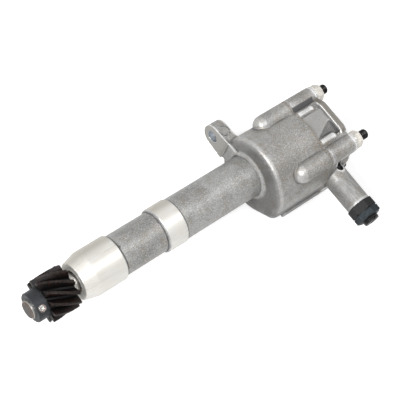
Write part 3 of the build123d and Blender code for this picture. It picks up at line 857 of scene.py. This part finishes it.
def coverFinish(cast, look):
    shade = newShade("castCover")
    where = shade.place()
    x, y, z = shade.split(where)
    colour, rough, height, patch = castSurface(shade, where, x, cast)
    floorZ = look["pocketFloor"]

    inPocket = shade.band(x, coverX + 0.8, flangeX - 0.1, 0.15)
    floor = shade.band(z, floorZ - 0.15, floorZ + 0.15, 0.1) * inPocket * shade.band(y, -12.0, 6.4, 0.3)
    scoop = shade.band(z, 22.8, floorZ - 0.3, 0.2) * inPocket * shade.band(y, -12.2, -2.0, 0.3)
    beside = inPocket * shade.rise(z, 20.0, 21.0) * shade.band(y, 13.2, 16.5, 0.4)
    rim = shade.rise(x, flangeX + 0.2, flangeX + 0.5) * shade.rise(z, 18.0, 20.0)
    rim = rim * shade.band(y, -16.0, 14.0, 1.0)
    # painted light: the pocket floor lightened
    colour = shade.mix(floor * look["pocketFloorLight"], colour, look["tubePale"])
    # painted shade on the scoop's sloping face
    colour = shade.mix(scoop * look["scoopShade"], colour, cast["grimeAndShade"])
    # painted shade in the channel beside the boss
    colour = shade.mix(beside * look["besideShade"], colour, cast["grimeAndShade"])
    colour = shade.mix(rim * look["rimShare"], colour, look["rim"])
    colour = browned(shade, where, shade.fall(x, coverX + 0.7, coverX + 1.4), colour, cast)

    onTube = shade.fall(shade.reach(x, z, (tubeX, 0.0)), look["tubeReach"], look["tubeReach"] + 0.6)
    onTube = onTube * shade.fall(y, plungerLow[1] - 1.0, plungerLow[1] + 3.0)
    colour = shade.mix(onTube * look["tubeShare"], colour, tubeColour(shade, where, x, patch, cast, look))
    # painted shade: the spill hole's wall near-black and not metallic
    spill = shade.fall(shade.reach(x, y, spillHole), 2.85, 3.0) * shade.band(z, 4.8, 8.7, 0.2)
    colour = shade.mix(spill, colour, look["spill"])
    rough = rough + onTube * 0.14 + rim * 0.25
    return shade.finish(Base_Color=colour, Metallic=cast["metal"] * (1 - spill), Roughness=rough,
                        Normal=shade.bump(height))


def plainSteel(name, colour, rough, metal=0.9, cloudScale=0.5, contrast=0.25, specular=0.5):
    shade = newShade(name)
    where = shade.place()
    cloud = shade.noise(where, cloudScale, 5.0, 0.6)
    fine = shade.noise(where, 2.5, 3.0, 0.6)
    tint = shade.mix(shade.rise(cloud, 0.35, 0.65), tuple(c * (1 - contrast) for c in colour),
                     tuple(min(1.0, c * (1 + contrast)) for c in colour))
    return shade.finish(Base_Color=tint, Metallic=metal, Roughness=rough + (cloud - 0.5) * 0.25,
                        Specular_IOR_Level=specular, Normal=shade.bump(fine * 0.003))


gearLook = {
    "black": (0.0035, 0.003, 0.003),
    "brown": (0.012, 0.005, 0.0035),
    "wearAndSheen": (0.060, 0.048, 0.043),
    "hub": (0.040, 0.043, 0.047),
    "ring": (0.26, 0.21, 0.19),
    "ringReach": 2.45,         # round the cross pin
    "tip": 14.75,
    "hubRadius": 10.3,
    "hubLength": 8.2,
    "metal": 0.40,
    "specular": 0.13,
}


def gearFinish(look):
    # blackened steel: lighter along the tooth tips, worn there and partly a painted highlight, browned on the
    # flanks, greyer on the hub
    shade = newShade("blackSteel")
    where = shade.place()
    x, y, z = shade.split(where)
    out = shade.reach(y, z)
    cloud = shade.noise(where, 0.35, 5.0, 0.62)
    scuff = shade.noise(where, 1.1, 5.0, 0.7)
    brown = shade.rise(cloud, 0.40, 0.62) * shade.rise(out, 11.5, 14.0)
    colour = shade.mix(brown, look["black"], look["brown"])
    # painted highlight along the tooth tips, together with wear
    wearAndSheen = shade.rise(out, look["tip"] - 0.25, look["tip"] + 0.1) * shade.rise(scuff, 0.42, 0.62)
    colour = shade.mix(wearAndSheen * 0.6, colour, look["wearAndSheen"])

    hubEnd = gearX + look["hubLength"]
    hub = shade.fall(out, look["hubRadius"], look["hubRadius"] + 0.1) * shade.fall(x, hubEnd, hubEnd + 0.4)
    hubColour = shade.mix(shade.rise(scuff, 0.5, 0.7) * 0.5, look["hub"], look["brown"])
    colour = shade.mix(hub, colour, hubColour)
    centre, way = pinAxis()[:2]
    across = shade.vector("CROSS_PRODUCT", shade.vector("SUBTRACT", where, tuple(centre)), tuple(way))
    fromPin = shade.node("ShaderNodeVectorMath", {"operation": "LENGTH"}, {0: across}, "Value")
    ring = shade.fall(fromPin, look["ringReach"], look["ringReach"] + 0.2) * hub
    colour = shade.mix(ring, colour, look["ring"])
    return shade.finish(Base_Color=colour, Metallic=look["metal"] * hub, Roughness=0.30 + scuff * 0.25,
                        Specular_IOR_Level=look["specular"],
                        Normal=shade.bump(scuff * 0.12 + cloud * 0.2))


shaftLook = {
    "bright": (0.58, 0.57, 0.55),
    "cloudy": (0.36, 0.34, 0.32),
    "chamfer": (0.16, 0.14, 0.12),
    "chamferLength": 0.9,
    "end": (0.06, 0.055, 0.05),
    "ring": (0.11, 0.05, 0.035),
    "ringRadii": (5.15, 5.6),
}


def shaftFinish(look):
    # ground bar, with a dull face, a browned ring and a chamfer darkened by painted shade at its free end
    shade = newShade("groundSteel")
    where = shade.place()
    x, y, z = shade.split(where)
    cloud = shade.noise(where, 0.4, 5.0, 0.6)
    lines = shade.noise(shade.stretch(where, (1.0, 0.0, 0.0)), 3.0, 4.0, 0.7)
    chamferEnd = shaftX + look["chamferLength"]
    chamfer = shade.fall(x, chamferEnd, chamferEnd + 0.1)
    face = shade.fall(x, shaftX + 0.05, shaftX + 0.12)
    ring = shade.band(shade.reach(y, z), *look["ringRadii"], 0.1) * face
    colour = shade.mix(shade.rise(cloud, 0.35, 0.7) * 0.4, look["bright"], look["cloudy"])
    # painted shade: the end chamfer darkened
    colour = shade.mix(chamfer, colour, look["chamfer"])
    colour = shade.mix(face, colour, look["end"])
    colour = shade.mix(ring, colour, look["ring"])
    return shade.finish(Base_Color=colour, Metallic=0.95 - face * 0.45,
                        Roughness=0.20 + cloud * 0.12 + face * 0.25, Normal=shade.bump(lines * 0.006))


finishes = {
    "cast_body": bodyFinish(castLook, turnedLook, boreLook, markLook),
    "cast_cover": coverFinish(castLook, coverLook),
    "gasket_paper": plainSteel("gasketPaper", (0.30, 0.26, 0.21), 0.7, 0.0),
    "bronze": plainSteel("bronze", (0.5, 0.35, 0.18), 0.3),
    "ground_steel": shaftFinish(shaftLook),
    "black_steel": gearFinish(gearLook),
    "bright_pin": plainSteel("brightPin", (0.62, 0.60, 0.58), 0.22),
    "sintered_steel": plainSteel("sinteredSteel", (0.4, 0.4, 0.4), 0.45),
    "dark_stud": plainSteel("darkStud", (0.004, 0.0035, 0.0035), 0.22, 0.0, 0.5, 0.4, 0.25),
    "zinc_washer": plainSteel("zincWasher", (0.66, 0.65, 0.62), 0.28, 0.8),
    "zinc_nut": plainSteel("zincNut", (0.62, 0.59, 0.54), 0.22, 0.75, 0.2, 0.08),
    "polished_plunger": plainSteel("polishedPlunger", (0.85, 0.87, 0.9), 0.15),
    "spring_steel": plainSteel("springSteel", (0.35, 0.35, 0.35), 0.35),
    "screw_steel": plainSteel("screwSteel", (0.008, 0.008, 0.009), 0.42, 0.0, 0.8, 0.6, 0.4),
    "black_nut": plainSteel("blackNut", (0.003, 0.003, 0.004), 0.34, 0.0, 0.4, 0.5, 0.14),
    "blued_nut": plainSteel("bluedNut", (0.016, 0.022, 0.026), 0.40, 0.2, 0.5, 0.6, 0.12),
}

for name, node in nodes.items():
    for holder in (node, visible.get(name, node)):
        holder.data.materials.clear()
        holder.data.materials.append(finishes[slotOf[name]])
print("finishes set")
